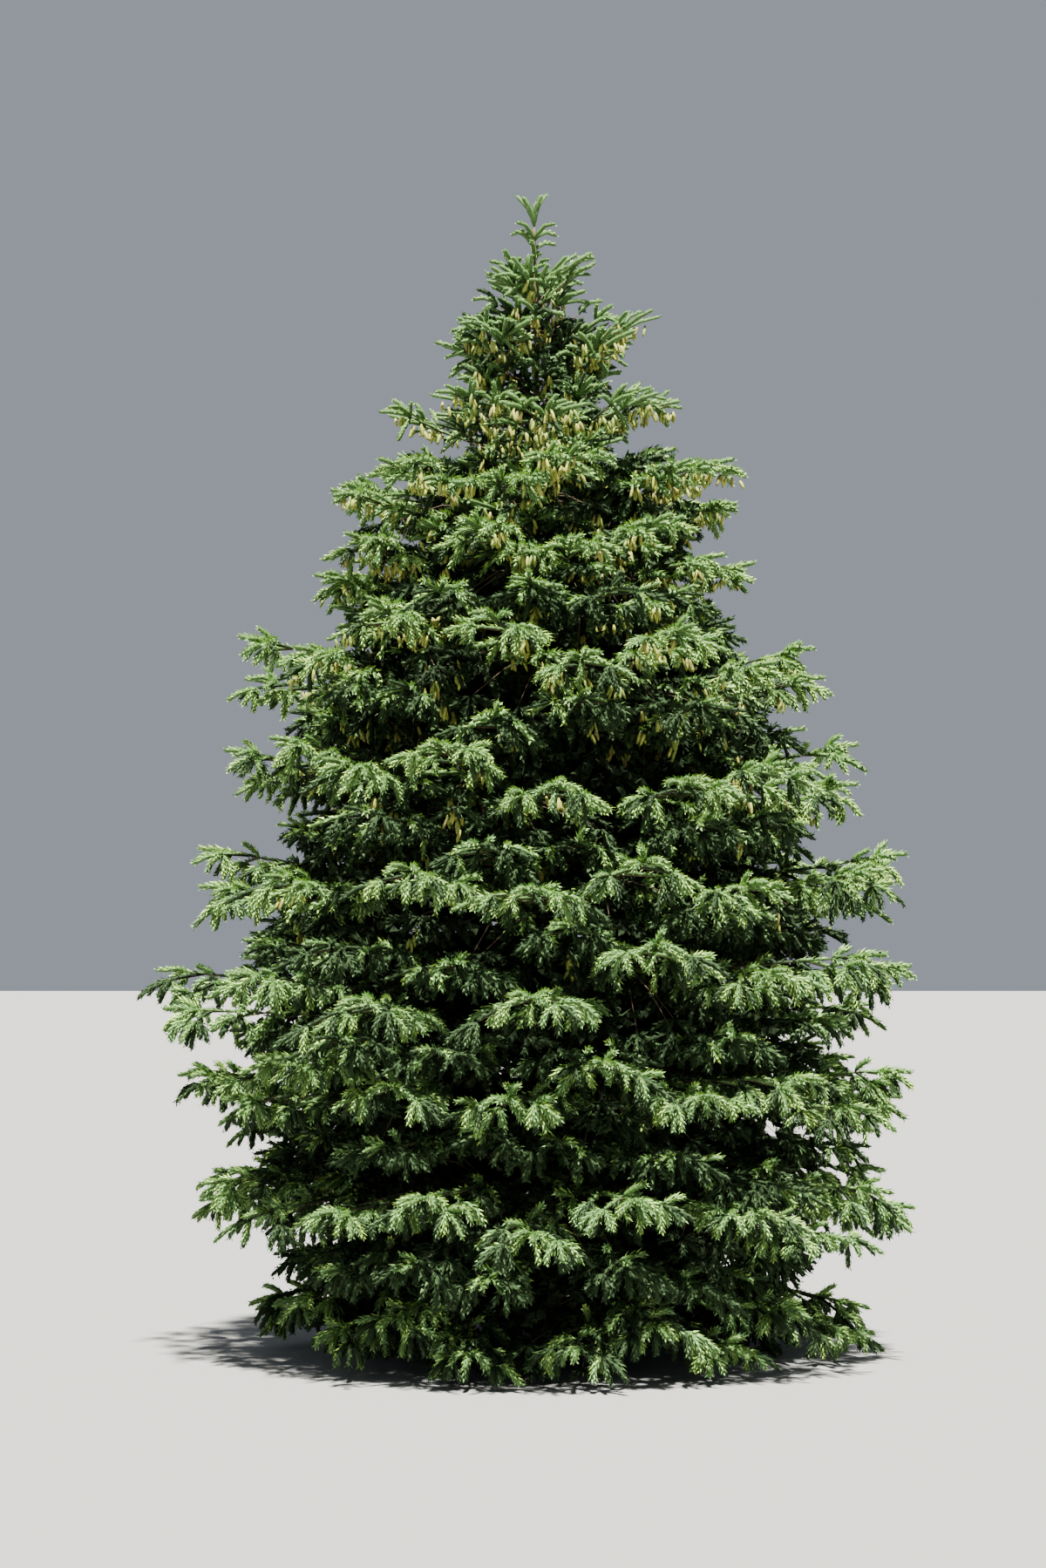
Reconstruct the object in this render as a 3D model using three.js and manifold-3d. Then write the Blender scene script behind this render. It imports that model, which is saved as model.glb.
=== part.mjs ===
// A Black Hills spruce, 4.8 m tall, as a young lawn tree: one trunk, tiers of boughs, and the masses of
// needles that the boughs carry. Sizes are in millimetres and +Z is up. The origin is on the ground, at the
// middle of the flat cut under the trunk. -Y is the front, and headings are degrees round the trunk from
// +X, towards +Y.
import * as THREE from "three";
import { mergeVertices } from "three/addons/utils/BufferGeometryUtils.js";
import Module from "manifold-3d";

const wasm = await Module();
wasm.setup();

const CLEAR = 0.3; // the gap between neighbouring solids
const SPACE_GAP = 9; // how far a mass stays from the edge of its own space
const REACH_SLACK = 1.01; // how far a spray may go past the reach of its tier, as a factor
const SEED = 7.31;

const TRUNK = { top: 4665, footRadius: 63, tipRadius: 5.5, taper: 0.92, sides: 15, rings: 9, crowding: 1.9 };
// The root flare's shoulders at the ground. even is the part of it that runs all round, and ribbed the rest.
const FLARE = { radius: 34, height: 150, ribs: 5, even: 0.6, ribbed: 0.4 };
// How far the tip stands aside of the foot, by a power of the height, and how far the middle bows back.
const LEAN = { x: -58, power: 1.3, bow: 17 };

// The tiers of boughs, from the ground up. trunkZ is where they leave the trunk and tipZ where they end,
// arch lifts their middle, left and right are their reach towards -X and +X, fingers is how many side twigs
// each of their arms has on a hand, and heading is where the first mass points. A tier isn't level: off the
// left and the right it comes nearer to the tier over it or under it, in place and in size.
const TIERS = [
  { trunkZ: 385, tipZ: 122, arch: 25, left: 1230, right: 1335, masses: 5, fingers: 4, heading: 12 },
  { trunkZ: 735, tipZ: 630, arch: 15, left: 1450, right: 1510, masses: 5, fingers: 4, heading: 42 },
  { trunkZ: 1060, tipZ: 1055, arch: 5, left: 1515, right: 1505, masses: 5, fingers: 4, heading: 0 },
  { trunkZ: 1400, tipZ: 1490, arch: 0, left: 1630, right: 1515, masses: 4, fingers: 4, heading: 30 },
  { trunkZ: 1770, tipZ: 1975, arch: 10, left: 1440, right: 1500, masses: 4, fingers: 4, heading: 8 },
  { trunkZ: 2160, tipZ: 2410, arch: 20, left: 1320, right: 1315, masses: 4, fingers: 4, heading: 60 },
  { trunkZ: 2540, tipZ: 2830, arch: 25, left: 1285, right: 1170, masses: 4, fingers: 3, heading: 20 },
  { trunkZ: 2910, tipZ: 3225, arch: 30, left: 945, right: 905, masses: 3, fingers: 3, heading: 50 },
  { trunkZ: 3260, tipZ: 3590, arch: 35, left: 900, right: 850, masses: 3, fingers: 3, heading: 0 },
  { trunkZ: 3600, tipZ: 3900, arch: 35, left: 620, right: 625, masses: 2, fingers: 3, heading: 75 },
  { trunkZ: 3930, tipZ: 4230, arch: 25, left: 400, right: 495, masses: 2, fingers: 2, heading: 10 },
  { trunkZ: 4270, tipZ: 4480, arch: 15, left: 225, right: 272, masses: 2, fingers: 2, heading: 85 },
];

// How far a tier climbs or sinks in front and behind, as a share of the way to the next, and by how much of
// that on the diagonals. Both change with turn, in degrees a tier. Tiers that are at least edge from the
// lowest and the highest do so fully.
const CLIMB = { most: 0.2, diagonal: 0.8, turn: 80, edge: 2 };

// A seed cone hangs from one arm of each mass in the upper tiers.
const CONE = { firstTier: 6, lastTier: 10, arm: 1, place: 0.62, length: 66, radius: 9, sides: 4, sunk: 14 };

// The lowest tiers bear their masses on boughs. A bough ends at a share of the reach.
const BOUGH = { tiers: 3, end: 0.27, sides: 6, rings: 2, rootRadius: 17, tipRadius: 11 };
const FORK = 0.36; // where a mass forks into its arms, as a share of the reach
const DIRECT_FORK = 0.26; // the same for a mass that leaves the trunk itself
// The radius of a stem off the trunk is slim, plus stout by its reach.
const STEM = { slim: 4, stout: 10, taper: 0.8 };

// The arms of a mass fan out over spread of its sector, and lifts are how far they stand over its middle,
// in turn. An arm ends up to twice short of its tier's reach, but those whose heading has a cosine over
// sideways reach it all. At the fork they stand side by side, over rootSpread of the stem's radius, and are
// rootSize of it thick.
const ARM = {
  count: 4, spread: 0.94, wander: 0.05, lifts: [-10, 70, -45, 100], short: 0.04, sideways: 0.93,
  fullReach: 1500, rootSpread: 0.6, rootSize: 0.5,
};

// The long spray of an arm. bare is the stretch without needles, width is half the spray's, as a share of
// its length, and slim and deep are its depth, the second by its reach. Its fingers fall by droop for each
// unit they stand out. At a room of 1 the fingers of two arms meet in plan, and over 1 they pass under each
// other.
const SPRAY = { bare: 0.14, width: 0.34, slim: 40, deep: 90, over: 0.4, under: 0.6, droop: 0.5, room: 1.05 };
const SWELL = { start: 0.14, length: 0.76, power: 0.8 }; // the stretch of half a wave that gives its outline
const FINGER = { notch: 0.28, lead: 1.1, spread: 0.2, last: 0.98, tip: 0.9 };
const SPRAY_SIZES = [1, 0.9, 0.8, 0.7, 0.6, 0.5]; // tried in turn until the spray fits its space

// The leader's top: a sleeve of needles round the trunk's last stretch, with shoots that rise from it and
// shoots that stand out lower down. A rise is in degrees over level.
const LEADER = { space: 4560, foot: 4585, top: 4690, radius: 15 };
const LEADER_SHOOTS = [
  { count: 5, z: 4672, rise: 62, length: 128, heading: 20 },
  { count: 4, z: 4610, rise: 24, length: 112, heading: 50 },
];
const SHOOT = { radius: 12, sides: 3, wander: 12, lean: 9, spread: 0.14 };

TIERS.forEach((tier, level) => {
  tier.level = level;
  tier.boughs = level < BOUGH.tiers;
  tier.cones = level >= CONE.firstTier && level <= CONE.lastTier;
  tier.reach = (tier.left + tier.right) / 2;
  tier.halfSector = Math.PI / tier.masses;
  tier.climb = (CLIMB.most * Math.min(level, TIERS.length - 1 - level, CLIMB.edge)) / CLIMB.edge;
});

const up = new THREE.Vector3(0, 0, 1);
const radians = THREE.MathUtils.degToRad;
const smooth = (share) => share * (2 - share);

// A number from -1 to 1 that is the same each time for the same keys.
function chance(...keys) {
  const mixed = keys.reduce((sum, key, place) => sum + key * (12.9898 + 65.233 * place), SEED);
  const wave = Math.sin(mixed) * 43758.5453;
  return 2 * (wave - Math.floor(wave)) - 1;
}

// Where the trunk's middle is at a height.
function trunkCentre(z) {
  const share = THREE.MathUtils.clamp(z / TRUNK.top, 0, 1);
  return new THREE.Vector3(LEAN.x * share ** LEAN.power, LEAN.bow * Math.sin(Math.PI * share), z);
}

function trunkRadius(z) {
  const share = THREE.MathUtils.clamp(z / TRUNK.top, 0, 1);
  return TRUNK.footRadius + (TRUNK.tipRadius - TRUNK.footRadius) * share ** TRUNK.taper;
}

// A size of a tier in a heading, drawn by its climb towards that of the tier over it or under it.
function drawn(tier, heading, size) {
  const turn = radians(CLIMB.turn * tier.level);
  const foreAndAft = Math.cos(turn) * Math.sin(heading);
  const diagonal = CLIMB.diagonal * Math.sin(turn) * Math.sin(2 * heading);
  const climb = tier.climb * (foreAndAft + diagonal);
  const neighbour = TIERS[tier.level + Math.sign(climb)] ?? tier;
  return tier[size] + (neighbour[size] - tier[size]) * Math.abs(climb);
}

// The height of a tier's boughs in a heading, at a distance from the trunk.
function tierHeight(tier, heading, radius) {
  const share = radius / drawn(tier, heading, "reach");
  const trunkZ = drawn(tier, heading, "trunkZ");
  const rise = (drawn(tier, heading, "tipZ") - trunkZ) * share;
  return trunkZ + rise + tier.arch * Math.sin(Math.PI * Math.min(share, 1));
}

function tierPoint(tier, heading, radius, lift = 0) {
  const centre = trunkCentre(tier.trunkZ);
  const x = centre.x + radius * Math.cos(heading);
  const y = centre.y + radius * Math.sin(heading);
  return new THREE.Vector3(x, y, tierHeight(tier, heading, radius) + lift);
}

// How far a tier's boughs reach in a heading: the crown isn't as wide on one side as on the other.
function tierReach(tier, heading) {
  const left = drawn(tier, heading, "left");
  const right = drawn(tier, heading, "right");
  return (left + right) / 2 + ((right - left) / 2) * Math.cos(heading);
}

// How slim the limbs and sprays of a tier are: 1 on the longest boughs.
function slimness(tier) {
  return tier.reach / ARM.fullReach;
}

function massHeading(tier, index) {
  return radians(tier.heading) + (2 * Math.PI * index) / tier.masses;
}

// The space of a mass is its sector of the circle, between the tiers under and over it.
function inSpace(tier, heading, point) {
  const centre = trunkCentre(tier.trunkZ);
  const x = point.x - centre.x;
  const y = point.y - centre.y;
  const radius = Math.hypot(x, y);
  const pointHeading = Math.atan2(y, x);
  const under = TIERS[tier.level - 1];
  const over = TIERS[tier.level + 1];
  const halfway = (other) =>
    (tierHeight(tier, pointHeading, radius) + tierHeight(other, pointHeading, radius)) / 2;
  const floor = under ? halfway(under) : 0;
  const ceiling = over ? halfway(over) : LEADER.space;
  if (point.z < floor + SPACE_GAP || point.z > ceiling - SPACE_GAP) return false;
  if (radius > tierReach(tier, pointHeading) * REACH_SLACK) return false;
  const turn = pointHeading - heading;
  const aside = Math.abs(Math.atan2(Math.sin(turn), Math.cos(turn)));
  return aside < tier.halfSector && radius * Math.sin(Math.min(tier.halfSector - aside, 1)) > SPACE_GAP;
}

// A closed three.js geometry as a solid that can be cut and joined.
function solidOf(geometry) {
  const bare = geometry.clone();
  for (const name of Object.keys(bare.attributes)) {
    if (name !== "position") bare.deleteAttribute(name);
  }
  const merged = mergeVertices(bare, 1e-3);
  const triVerts = new Uint32Array(merged.index.array);
  const vertProperties = new Float32Array(merged.attributes.position.array);
  return new wasm.Manifold(new wasm.Mesh({ numProp: 3, vertProperties, triVerts }));
}

// The same for a geometry whose faces may all point inwards, which are then turned round.
function asSolid(geometry) {
  const solid = solidOf(geometry);
  if (solid.volume() > 0) return solid;
  const turned = geometry.clone();
  turned.setIndex([...geometry.index.array].reverse());
  return solidOf(turned);
}

function geometryOf(solid) {
  const mesh = solid.getMesh();
  const positions = new THREE.BufferAttribute(new Float32Array(mesh.vertProperties), 3);
  const geometry = new THREE.BufferGeometry().setAttribute("position", positions);
  geometry.setIndex(new THREE.BufferAttribute(new Uint32Array(mesh.triVerts), 1));
  geometry.computeVertexNormals();
  return geometry;
}

// The largest closed body of a solid: loose scraps go, and sealed hollows are filled.
function largestBody(solid) {
  return solid.decompose().reduce((best, body) => (body.volume() > best.volume() ? body : best));
}

// A tapering limb along a curve, round or with few sides.
function limb(curve, rootRadius, tipRadius, sides, rings) {
  const geometry = new THREE.CylinderGeometry(tipRadius, rootRadius, 1, sides, rings);
  geometry.translate(0, 0.5, 0);
  const position = geometry.attributes.position;
  for (let i = 0; i < position.count; i += 1) {
    const share = THREE.MathUtils.clamp(position.getY(i), 0, 1);
    const along = curve.getTangentAt(share);
    const side = new THREE.Vector3().crossVectors(up, along);
    if (side.lengthSq() < 1e-6) side.set(1, 0, 0);
    side.normalize();
    const over = new THREE.Vector3().crossVectors(along, side);
    const point = curve.getPointAt(share);
    point.addScaledVector(side, position.getX(i)).addScaledVector(over, position.getZ(i));
    position.setXYZ(i, point.x, point.y, point.z);
  }
  return asSolid(geometry);
}

// A long spray of needles on a twig. The twig's four-sided root is sunk in the limb that bears it, and past
// its bare stretch it swells into a blade with a row of fingers down each side, which lean forward and hang
// like a roof.
function longSpray(curve, { fingers, width, depth, root, room, seed }) {
  const { bare, over, under } = SPRAY;
  const step = (1 - bare) / (fingers + FINGER.tip);
  const points = [];
  const at = (share, aside, lift) => {
    const along = curve.getTangentAt(share);
    const side = new THREE.Vector3().crossVectors(up, along).normalize();
    const point = curve.getPointAt(share).addScaledVector(side, aside);
    point.z += lift - SPRAY.droop * Math.abs(aside);
    return points.push(point) - 1;
  };
  const swell = (share) => {
    const stretch = SWELL.start + (SWELL.length * (share - bare)) / (1 - bare);
    return Math.sin(Math.PI * stretch) ** SWELL.power;
  };
  const ridges = [[at(0, 0, root.height), at(0, 0, -root.height)]];
  const notches = { [-1]: [at(0, -root.width, 0)], 1: [at(0, root.width, 0)] };
  const ends = { [-1]: [null], 1: [null] };
  for (let finger = 0; finger <= fingers; finger += 1) {
    const share = bare + finger * step;
    const full = swell(share);
    ridges.push([at(share, 0, depth * over * full), at(share, 0, -depth * under * full)]);
    for (const hand of [-1, 1]) {
      const grown = 1 + FINGER.spread * chance(seed, finger, hand);
      notches[hand].push(at(share, hand * FINGER.notch * Math.min(width * full, room(share)), 0));
      const lead = Math.min(share + step * FINGER.lead, FINGER.last);
      const reach = Math.min(width * swell(share + step / 2), room(lead)) * grown;
      ends[hand].push(finger < fingers ? at(lead, hand * reach, 0) : null);
    }
  }
  const tip = at(1, 0, 0);
  const last = ridges.length - 1;
  const faces = [];
  for (const hand of [-1, 1]) {
    for (const layer of [0, 1]) {
      const face = (a, b, c) => faces.push(...((hand > 0) === (layer > 0) ? [a, b, c] : [a, c, b]));
      for (let i = 0; i < last; i += 1) {
        const [here, next] = [ridges[i][layer], ridges[i + 1][layer]];
        const end = ends[hand][i] ?? notches[hand][i + 1];
        face(here, notches[hand][i], end);
        face(here, end, next);
        if (ends[hand][i] !== null) face(next, end, notches[hand][i + 1]);
      }
      face(ridges[last][layer], notches[hand][last], tip);
    }
    const heel = [ridges[0][1], ridges[0][0], notches[hand][0]];
    faces.push(...(hand > 0 ? heel : heel.reverse()));
  }
  const geometry = new THREE.BufferGeometry().setFromPoints(points);
  geometry.setIndex(faces);
  const underside = (share) => {
    const point = curve.getPointAt(share);
    point.z -= depth * under * swell(share);
    return point;
  };
  return { solid: asSolid(geometry), points, underside };
}

// A spindle between two points: a single shoot with its needles, or a hanging seed cone.
function spindle(from, to, radius, sides) {
  const along = new THREE.Vector3().subVectors(to, from);
  const profile = [[0, 0], [0.8 * radius, 0.2], [radius, 0.7], [0, 1]];
  const points = profile.map(([r, share]) => new THREE.Vector2(r, share * along.length()));
  const geometry = new THREE.LatheGeometry(points, sides);
  const upright = new THREE.Vector3(0, 1, 0);
  geometry.applyQuaternion(new THREE.Quaternion().setFromUnitVectors(upright, along.normalize()));
  return asSolid(geometry.translate(from.x, from.y, from.z));
}

// The trunk, or with extra over its radius the room that its neighbours leave it.
function trunkGeometry(extra) {
  const profile = [new THREE.Vector2(0, 0)];
  for (let ring = 0; ring <= TRUNK.rings; ring += 1) {
    const z = TRUNK.top * (ring / TRUNK.rings) ** TRUNK.crowding;
    profile.push(new THREE.Vector2(trunkRadius(z) + extra, z));
  }
  profile.push(new THREE.Vector2(0, TRUNK.top));
  const geometry = new THREE.LatheGeometry(profile, TRUNK.sides).rotateX(Math.PI / 2);
  const position = geometry.attributes.position;
  for (let i = 0; i < position.count; i += 1) {
    const z = position.getZ(i);
    const heading = Math.atan2(position.getY(i), position.getX(i));
    const ribs = FLARE.even + FLARE.ribbed * Math.cos(FLARE.ribs * heading);
    const flare = 1 + (FLARE.radius / TRUNK.footRadius) * ribs * Math.exp(-z / FLARE.height);
    const centre = trunkCentre(z);
    position.setXYZ(i, centre.x + position.getX(i) * flare, centre.y + position.getY(i) * flare, z);
  }
  return geometry;
}

const trunkSolid = asSolid(trunkGeometry(0));
const trunkRoom = asSolid(trunkGeometry(CLEAR / Math.cos(Math.PI / TRUNK.sides)));

// The curve of a limb of a tier, between two distances from the trunk.
function tierCurve(tier, heading, from, to, turnTo = heading, lift = 0) {
  const steps = 4;
  const points = [];
  for (let step = 0; step <= steps; step += 1) {
    const share = step / steps;
    const turned = heading + (turnTo - heading) * smooth(share);
    points.push(tierPoint(tier, turned, from + (to - from) * share, lift * smooth(share)));
  }
  return new THREE.CatmullRomCurve3(points);
}

function boughSolid(tier, heading) {
  const curve = tierCurve(tier, heading, 0, tier.reach * BOUGH.end);
  const round = limb(curve, BOUGH.rootRadius, BOUGH.tipRadius, BOUGH.sides, BOUGH.rings);
  return largestBody(round.subtract(trunkRoom));
}

// One arm of a mass: a twig with its long spray, in the largest size that fits the space of the mass.
function armSpray(tier, index, arm, fork, stemRadius) {
  const key = tier.level * 10 + index;
  const heading = massHeading(tier, index);
  const side = (2 * arm + 1) / ARM.count - 1;
  const turned = heading + tier.halfSector * (ARM.spread * side + ARM.wander * chance(key, arm));
  const sideways = Math.abs(Math.cos(turned)) > ARM.sideways;
  const reach = tierReach(tier, turned) * (sideways ? 1 : 1 - ARM.short * (1 - chance(key, arm, 3)));
  const lift = ARM.lifts[(arm + index + tier.level) % ARM.lifts.length] * Math.sqrt(slimness(tier));
  const length = reach - fork;
  const leaves = heading + (ARM.rootSpread * side * stemRadius) / fork;
  const curve = tierCurve(tier, leaves, fork - stemRadius, reach, turned, lift);
  const between = (ARM.spread * tier.halfSector) / ARM.count;
  for (const size of SPRAY_SIZES) {
    const spray = longSpray(curve, {
      fingers: tier.fingers,
      width: size * length * SPRAY.width,
      depth: size * (SPRAY.slim + SPRAY.deep * slimness(tier)),
      root: { width: (ARM.rootSize * stemRadius) / ARM.count, height: ARM.rootSize * stemRadius },
      room: (share) => SPRAY.room * (fork + share * length) * Math.sin(between * smooth(share)),
      seed: key + 100 * arm,
    });
    if (spray.points.every((point) => inSpace(tier, heading, point))) return spray;
  }
  return null;
}

// The mass forks from its stem into arms, and one of them bears the seed cone.
function massSolid(tier, index) {
  const heading = massHeading(tier, index);
  const fork = tier.reach * (tier.boughs ? FORK : DIRECT_FORK);
  const stemRadius = tier.boughs ? BOUGH.tipRadius : STEM.slim + STEM.stout * slimness(tier);
  const start = tier.boughs ? tier.reach * BOUGH.end + 2 * CLEAR : 0;
  const stem = tierCurve(tier, heading, start, fork);
  const pieces = [limb(stem, stemRadius, stemRadius * STEM.taper, BOUGH.sides, 1)];
  for (let arm = 0; arm < ARM.count; arm += 1) {
    const spray = armSpray(tier, index, arm, fork, stemRadius);
    if (spray === null) continue;
    pieces.push(spray.solid);
    if (!tier.cones || arm !== CONE.arm) continue;
    const top = spray.underside(CONE.place);
    top.z += CONE.sunk;
    const tip = top.clone().setZ(top.z - CONE.length);
    if (inSpace(tier, heading, tip)) pieces.push(spindle(top, tip, CONE.radius, CONE.sides));
  }
  const joined = wasm.Manifold.union(pieces);
  return largestBody(tier.boughs ? joined : joined.subtract(trunkRoom));
}

// The sleeve round the leader and the shoots that stand on it, as one mass.
function leaderSolid() {
  const foot = trunkCentre(LEADER.foot);
  const top = trunkCentre(TRUNK.top).setZ(LEADER.top);
  const pieces = [spindle(foot, top, LEADER.radius, 6)];
  for (const ring of LEADER_SHOOTS) {
    const root = trunkCentre(ring.z).setZ(ring.z);
    for (let i = 0; i < ring.count; i += 1) {
      const heading = radians(ring.heading + (360 * i) / ring.count + SHOOT.wander * chance(ring.z, i));
      const rise = radians(ring.rise + SHOOT.lean * chance(ring.z, i, 2));
      const length = ring.length * (1 + SHOOT.spread * chance(ring.z, i, 3));
      const out = new THREE.Vector3(Math.cos(heading), Math.sin(heading), Math.tan(rise)).normalize();
      const tip = root.clone().addScaledVector(out, length);
      pieces.push(spindle(root, tip, SHOOT.radius, SHOOT.sides));
    }
  }
  return largestBody(wasm.Manifold.union(pieces).subtract(trunkRoom));
}

const bark = new THREE.MeshStandardMaterial({ color: 0x5d4a3c, roughness: 0.95, metalness: 0 });
const boughBark = new THREE.MeshStandardMaterial({ color: 0x6e5640, roughness: 0.9, metalness: 0 });
const needles = new THREE.MeshStandardMaterial({ color: 0x4d7a45, roughness: 0.6, metalness: 0 });

const tree = new THREE.Group();

function addNode(name, solid, material) {
  const mesh = new THREE.Mesh(geometryOf(solid), material);
  mesh.name = name;
  tree.add(mesh);
}

const twoDigits = (number) => String(number).padStart(2, "0");

addNode("trunk", trunkSolid, bark);
TIERS.forEach((tier) => {
  for (let index = 0; index < tier.masses; index += 1) {
    const place = `${twoDigits(tier.level + 1)}_${index + 1}`;
    if (tier.boughs) addNode(`bough_${place}`, boughSolid(tier, massHeading(tier, index)), boughBark);
    addNode(`needles_${place}`, massSolid(tier, index), needles);
  }
});
addNode("needles_top", leaderSolid(), needles);

export default tree;
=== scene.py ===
# The looks of a young Black Hills spruce, 4.8 m tall. Lengths are in metres, angles in radians unless a
# name says degrees, +Z is up and -Y is the front. The boughs, arms and side twigs stand where the solids
# have them, by the same rule, and are carried on to finer twigs, shoots, needles and cones.
import math
from collections import namedtuple

import bpy
import numpy as np
from mathutils import Matrix, Vector


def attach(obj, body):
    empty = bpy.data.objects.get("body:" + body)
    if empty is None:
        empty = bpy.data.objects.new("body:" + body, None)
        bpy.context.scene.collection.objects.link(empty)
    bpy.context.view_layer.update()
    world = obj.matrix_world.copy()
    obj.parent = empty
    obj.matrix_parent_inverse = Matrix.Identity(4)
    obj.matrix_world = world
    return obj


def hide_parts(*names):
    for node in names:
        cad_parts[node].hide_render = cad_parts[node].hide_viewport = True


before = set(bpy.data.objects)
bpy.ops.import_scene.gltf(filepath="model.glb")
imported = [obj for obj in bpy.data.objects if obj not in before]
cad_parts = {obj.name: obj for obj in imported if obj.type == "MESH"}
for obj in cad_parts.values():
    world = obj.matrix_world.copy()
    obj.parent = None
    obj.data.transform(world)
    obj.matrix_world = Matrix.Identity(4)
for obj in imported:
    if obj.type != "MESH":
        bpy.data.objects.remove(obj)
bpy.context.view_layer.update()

# The rule of the solids, with its named sizes
SEED = 7.31
TRUNK_TOP = 4.665
TRUNK_FOOT_RADIUS = 0.063
TRUNK_TIP_RADIUS = 0.0055
TRUNK_TAPER = 0.92
FLARE_RADIUS = 0.034
FLARE_HEIGHT = 0.150
FLARE_RIBS = 5
FLARE_EVEN = 0.6
FLARE_RIBBED = 0.4
LEAN_X = -0.058
LEAN_POWER = 1.3
BOW = 0.017


class Tier(namedtuple("Tier", "level trunk_z tip_z arch left right masses heading")):
    """A tier of masses: its height at the trunk and at its tips, how far its middle is lifted, its reach
    towards -X and +X, how many masses it has and the heading of the first, in degrees."""

    @property
    def reach(self):
        return (self.left + self.right) / 2

    @property
    def slimness(self):
        return self.reach / FULL_REACH

    @property
    def half_sector(self):
        return math.pi / self.masses

    @property
    def has_boughs(self):
        return self.level < BOUGH_TIERS

    @property
    def fork(self):
        return self.reach * (FORK if self.has_boughs else DIRECT_FORK)

    @property
    def stem_radius(self):
        return BOUGH_TIP_RADIUS if self.has_boughs else STEM_SLIM + STEM_STOUT * self.slimness


TIERS = [
    Tier(0, 0.385, 0.122, 0.025, 1.230, 1.335, 5, 12),
    Tier(1, 0.735, 0.630, 0.015, 1.450, 1.510, 5, 42),
    Tier(2, 1.060, 1.055, 0.005, 1.515, 1.505, 5, 0),
    Tier(3, 1.400, 1.490, 0.000, 1.630, 1.515, 4, 30),
    Tier(4, 1.770, 1.975, 0.010, 1.440, 1.500, 4, 8),
    Tier(5, 2.160, 2.410, 0.020, 1.320, 1.315, 4, 60),
    Tier(6, 2.540, 2.830, 0.025, 1.285, 1.170, 4, 20),
    Tier(7, 2.910, 3.225, 0.030, 0.945, 0.905, 3, 50),
    Tier(8, 3.260, 3.590, 0.035, 0.900, 0.850, 3, 0),
    Tier(9, 3.600, 3.900, 0.035, 0.620, 0.625, 2, 75),
    Tier(10, 3.930, 4.230, 0.025, 0.400, 0.495, 2, 10),
    Tier(11, 4.270, 4.480, 0.015, 0.225, 0.272, 2, 85),
]
LAST_LEVEL = len(TIERS) - 1
CLIMB_MOST = 0.2
CLIMB_DIAGONAL = 0.8
CLIMB_TURN = 80
CLIMB_EDGE = 2
BOUGH_TIERS = 3
BOUGH_END = 0.27
BOUGH_ROOT_RADIUS = 0.017
BOUGH_TIP_RADIUS = 0.011
FORK = 0.36
DIRECT_FORK = 0.26
STEM_SLIM = 0.004
STEM_STOUT = 0.010
STEM_TAPER = 0.8
ARM_COUNT = 4
ARM_SPREAD = 0.94
ARM_WANDER = 0.05
ARM_LIFTS = (-0.010, 0.070, -0.045, 0.100)
ARM_SHORT = 0.04
ARM_SIDEWAYS = 0.93
ARM_ROOT_SPREAD = 0.6
ARM_WOOD = 0.5  # its thickness against the stem's
FULL_REACH = 1.5
SPRAY_BARE = 0.14
SPRAY_WIDTH = 0.34
SPRAY_DROOP = 0.5
SPRAY_ROOM = 1.05
SWELL_START = 0.14
SWELL_LENGTH = 0.76
SWELL_POWER = 0.8
SWELL_LEAST = 0.05
FINGER_LEAD = 1.1
FINGER_SPREAD = 0.2
FINGER_LAST = 0.98
LEADER_RINGS = [  # count, height on the leader, rise in degrees, length, heading in degrees
    (5, 4.672, 62, 0.128, 20),
    (4, 4.610, 24, 0.112, 50),
]
LEADER_WANDER = 12
LEADER_LEAN = 9
LEADER_SPREAD = 0.14

# Where the crown changes with height and depth
CROWN_TOP = 4.8
LEADER_REACH = 0.1  # the crown's radius at its top
LOWEST = 0.004  # nothing comes nearer to the ground than this
HIGH_LEVEL = 7  # from this tier on the loose boughs are short and lie in the sun
TOP_LEVEL = 8  # above this tier the shoots are slimmer and the crown is more open
OPEN_HEIGHT = 3.9  # above it every shoot is seen from outside
LEADER_HEIGHT = 4.35  # above it no shoot lies inside the crown
OUTER = 0.73  # the share of the crown's radius past which young shoots have all their needles
INSIDE = 0.50  # the share up to which shoots are only roughly made
HEART = 0.40  # and the share up to which most of them are left out
HEART_BARE = 0.7  # how many of those are

# Loose boughs, each between two tiers
LOOSE_BETWEEN = (0.34, 0.68)  # how far one lies from its own tier towards the next
LOOSE_SHORTEST = 0.8  # the least share of the tiers' reach that one has
LOOSE_SHORTEST_HIGH = 0.64  # the same in the high tiers
LOOSE_SHORTEST_ASIDE = 0.73  # and at the sides, for the gaps in the outline
LOOSE_SIDEWAYS = 0.76  # the cosine of a heading past which a bough is at the sides
LOOSE_RANGE = 0.2  # by how much of the reach it may be longer
LOOSE_TURN = 3  # degrees to each side
LOOSE_START = 0.7  # the share of the trunk's radius at which it starts
LOOSE_WOOD = 0.4  # its thickness against a stem's
LOOSE_BARE = 0.34
LOOSE_WIDTH = 0.62  # the width of its sprays against an arm's
LOOSE_ROOM = 0.9  # and the room that they have
LOOSE_LIFT = 0.03
LOOSE_SHADE = 0.08

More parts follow.
